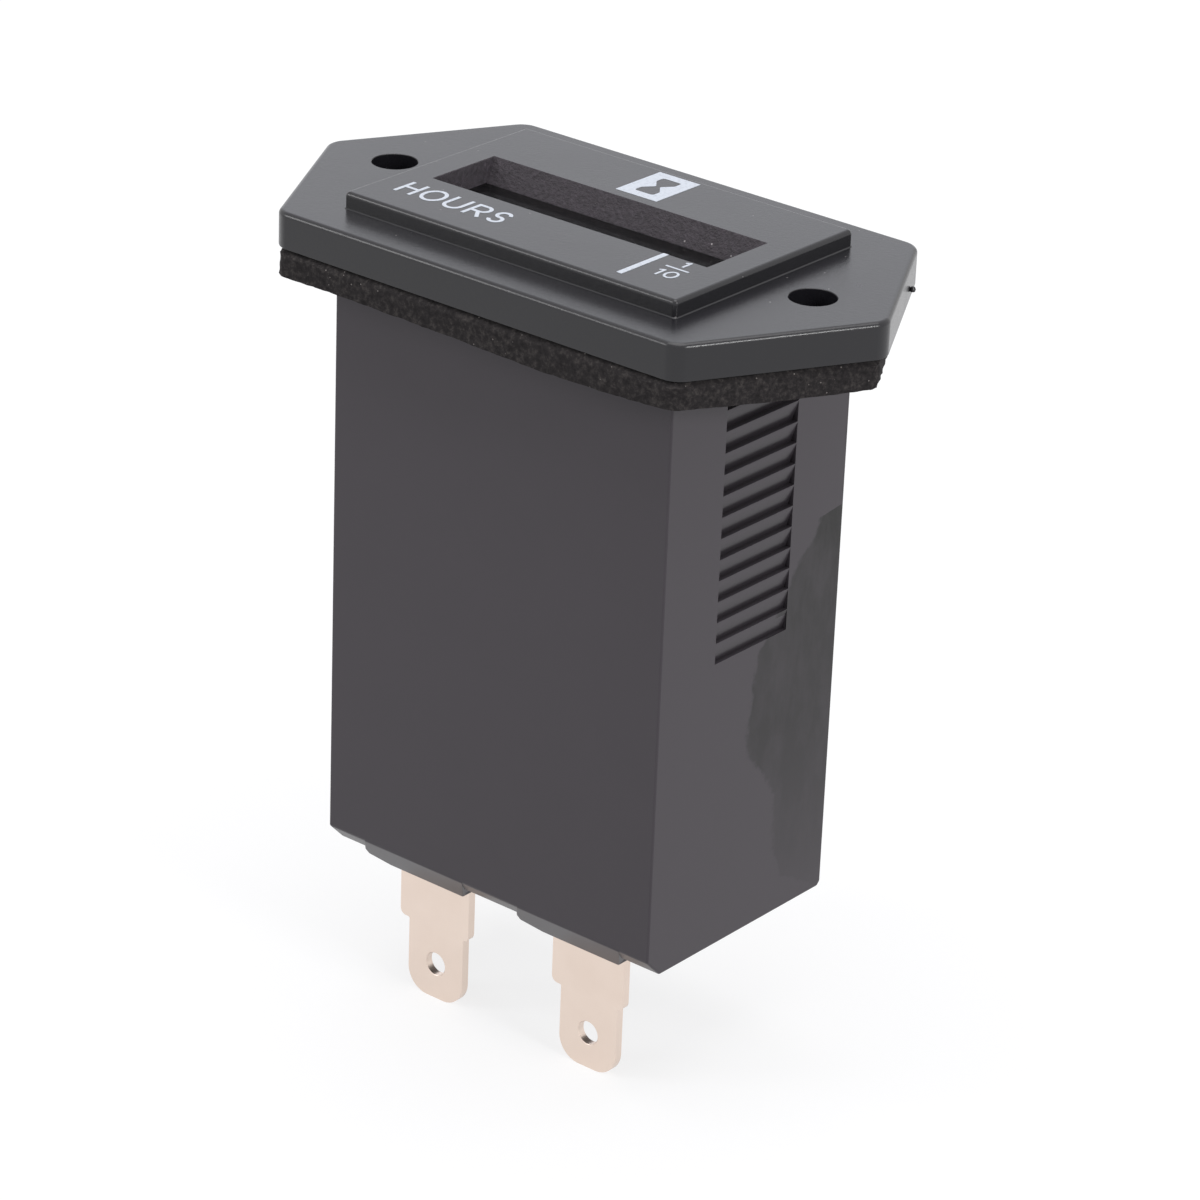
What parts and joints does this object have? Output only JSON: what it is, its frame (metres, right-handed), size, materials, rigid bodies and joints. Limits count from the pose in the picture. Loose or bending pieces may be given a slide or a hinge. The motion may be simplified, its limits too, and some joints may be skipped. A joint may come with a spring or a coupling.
{
  "type": "panel hour meter",
  "caption": "Flush-mount panel hour meter: flanged bezel with a lensed window over number wheels, deep moulded body with ratchet sides and blade tabs.",
  "frame": {"origin": "centre of the panel face, in the plane of the gasket's lower side", "axes": "+X along the window, +Y to the rear long side, +Z out of the panel towards the reader"},
  "size_m": [0.0604, 0.0324, 0.0747],
  "materials": {
    "bezel_plastic": "black moulded plastic, fine matt texture",
    "body_plastic": "black moulded plastic, smooth satin",
    "wheel_plastic": "black moulded plastic with printed white numbers",
    "counter_plastic": "black moulded plastic",
    "frame_plastic": "natural acetal",
    "lens": "clear polished plastic window",
    "foam": "black closed-cell foam with a rough cut edge",
    "tinned_brass": "tinned brass strip, satin",
    "screw_steel": "plated steel",
    "shaft_steel": "ground steel",
    "core_steel": "annealed magnetic steel",
    "magnet": "sintered magnet on a steel arbor",
    "gear_brass": "cut brass",
    "copper_wire": "enamelled copper wire",
    "board": "green solder mask on glass laminate",
    "can_metal": "drawn metal can",
    "chip_plastic": "moulded epoxy",
    "can_sleeve": "shrunk plastic sleeve",
    "resistor_body": "lacquered"
  },
  "bodies": {
    "body": {"bezel": "bezel_plastic", "window_lens": "lens", "flange_gasket": "foam", "housing": "body_plastic", "terminal_positive": "tinned_brass", "terminal_negative": "tinned_brass", "counter_frame": "counter_plastic", "gear_plate": "counter_plastic", "gear_plate_screws": "screw_steel", "wheel_shaft": "shaft_steel", "pinion_shaft": "shaft_steel", "motor_stator": "core_steel", "coil_core": "core_steel", "coil_bobbin": "frame_plastic", "coil_winding": "copper_wire", "motor_screws": "screw_steel", "coil_leads": "copper_wire", "circuit_board": "board", "quartz_crystal": "can_metal", "clock_chip": "chip_plastic", "smoothing_capacitor": "can_sleeve", "rectifier_diode": "chip_plastic", "dropping_resistors": "resistor_body"},
    "rotor": {"rotor": "magnet"},
    "first_arbor": {"first_arbor": "gear_brass"},
    "second_arbor": {"second_arbor": "gear_brass"},
    "third_arbor": {"third_arbor": "gear_brass"},
    "idler_gear": {"idler_gear": "frame_plastic"},
    "tenths_wheel": {"tenths_wheel": "wheel_plastic"},
    "units_wheel": {"units_wheel": "wheel_plastic"},
    "tens_wheel": {"tens_wheel": "wheel_plastic"},
    "hundreds_wheel": {"hundreds_wheel": "wheel_plastic"},
    "thousands_wheel": {"thousands_wheel": "wheel_plastic"},
    "ten_thousands_wheel": {"ten_thousands_wheel": "wheel_plastic"},
    "carry_pinion_5": {"carry_pinion_5": "frame_plastic"},
    "carry_pinion_4": {"carry_pinion_4": "frame_plastic"},
    "carry_pinion_3": {"carry_pinion_3": "frame_plastic"},
    "carry_pinion_2": {"carry_pinion_2": "frame_plastic"},
    "carry_pinion_1": {"carry_pinion_1": "frame_plastic"}
  },
  "joints": [
    {"name": "rotor_spin", "type": "hinge", "parent": "body", "child": "rotor", "pos_m": [0, 0.0009, -0.03245], "axis": [1, 0, 0], "continuous": true},
    {"name": "first_arbor_spin", "type": "hinge", "parent": "body", "child": "first_arbor", "pos_m": [0, -0.00278, -0.02756], "axis": [1, 0, 0], "continuous": true},
    {"name": "second_arbor_spin", "type": "hinge", "parent": "body", "child": "second_arbor", "pos_m": [0, 0.00239, -0.02366], "axis": [1, 0, 0], "continuous": true},
    {"name": "third_arbor_spin", "type": "hinge", "parent": "body", "child": "third_arbor", "pos_m": [0, -0.00111, -0.0176], "axis": [1, 0, 0], "continuous": true},
    {"name": "idler_gear_spin", "type": "hinge", "parent": "body", "child": "idler_gear", "pos_m": [0, -0.00349, -0.01348], "axis": [1, 0, 0], "continuous": true},
    {"name": "tenths_wheel_spin", "type": "hinge", "parent": "body", "child": "tenths_wheel", "pos_m": [0, 0, -0.0039], "axis": [1, 0, 0], "continuous": true},
    {"name": "units_wheel_spin", "type": "hinge", "parent": "body", "child": "units_wheel", "pos_m": [0, 0, -0.0039], "axis": [1, 0, 0], "continuous": true},
    {"name": "tens_wheel_spin", "type": "hinge", "parent": "body", "child": "tens_wheel", "pos_m": [0, 0, -0.0039], "axis": [1, 0, 0], "continuous": true},
    {"name": "hundreds_wheel_spin", "type": "hinge", "parent": "body", "child": "hundreds_wheel", "pos_m": [0, 0, -0.0039], "axis": [1, 0, 0], "continuous": true},
    {"name": "thousands_wheel_spin", "type": "hinge", "parent": "body", "child": "thousands_wheel", "pos_m": [0, 0, -0.0039], "axis": [1, 0, 0], "continuous": true},
    {"name": "ten_thousands_wheel_spin", "type": "hinge", "parent": "body", "child": "ten_thousands_wheel", "pos_m": [0, 0, -0.0039], "axis": [1, 0, 0], "continuous": true},
    {"name": "carry_pinion_5_spin", "type": "hinge", "parent": "body", "child": "carry_pinion_5", "pos_m": [0, 0.00405, -0.01091], "axis": [1, 0, 0], "continuous": true},
    {"name": "carry_pinion_4_spin", "type": "hinge", "parent": "body", "child": "carry_pinion_4", "pos_m": [0, 0.00405, -0.01091], "axis": [1, 0, 0], "continuous": true},
    {"name": "carry_pinion_3_spin", "type": "hinge", "parent": "body", "child": "carry_pinion_3", "pos_m": [0, 0.00405, -0.01091], "axis": [1, 0, 0], "continuous": true},
    {"name": "carry_pinion_2_spin", "type": "hinge", "parent": "body", "child": "carry_pinion_2", "pos_m": [0, 0.00405, -0.01091], "axis": [1, 0, 0], "continuous": true},
    {"name": "carry_pinion_1_spin", "type": "hinge", "parent": "body", "child": "carry_pinion_1", "pos_m": [0, 0.00405, -0.01091], "axis": [1, 0, 0], "continuous": true}
  ],
  "couplings": [
    {"joint": "first_arbor_spin", "follows": "rotor_spin", "ratio": -0.13333},
    {"joint": "second_arbor_spin", "follows": "rotor_spin", "ratio": 0.016667},
    {"joint": "third_arbor_spin", "follows": "rotor_spin", "ratio": -0.0027778},
    {"joint": "idler_gear_spin", "follows": "rotor_spin", "ratio": 0.0011111},
    {"joint": "tenths_wheel_spin", "follows": "rotor_spin", "ratio": -0.00055556},
    {"joint": "units_wheel_spin", "follows": "rotor_spin", "ratio": -0.000055556},
    {"joint": "tens_wheel_spin", "follows": "rotor_spin", "ratio": -0.0000055556},
    {"joint": "hundreds_wheel_spin", "follows": "rotor_spin", "ratio": -0.00000055556},
    {"joint": "thousands_wheel_spin", "follows": "rotor_spin", "ratio": -0.000000055556},
    {"joint": "ten_thousands_wheel_spin", "follows": "rotor_spin", "ratio": -0.0000000055556},
    {"joint": "carry_pinion_5_spin", "follows": "rotor_spin", "ratio": 0.00013889},
    {"joint": "carry_pinion_4_spin", "follows": "rotor_spin", "ratio": 0.000013889},
    {"joint": "carry_pinion_3_spin", "follows": "rotor_spin", "ratio": 0.0000013889},
    {"joint": "carry_pinion_2_spin", "follows": "rotor_spin", "ratio": 0.00000013889},
    {"joint": "carry_pinion_1_spin", "follows": "rotor_spin", "ratio": 0.000000013889}
  ]
}
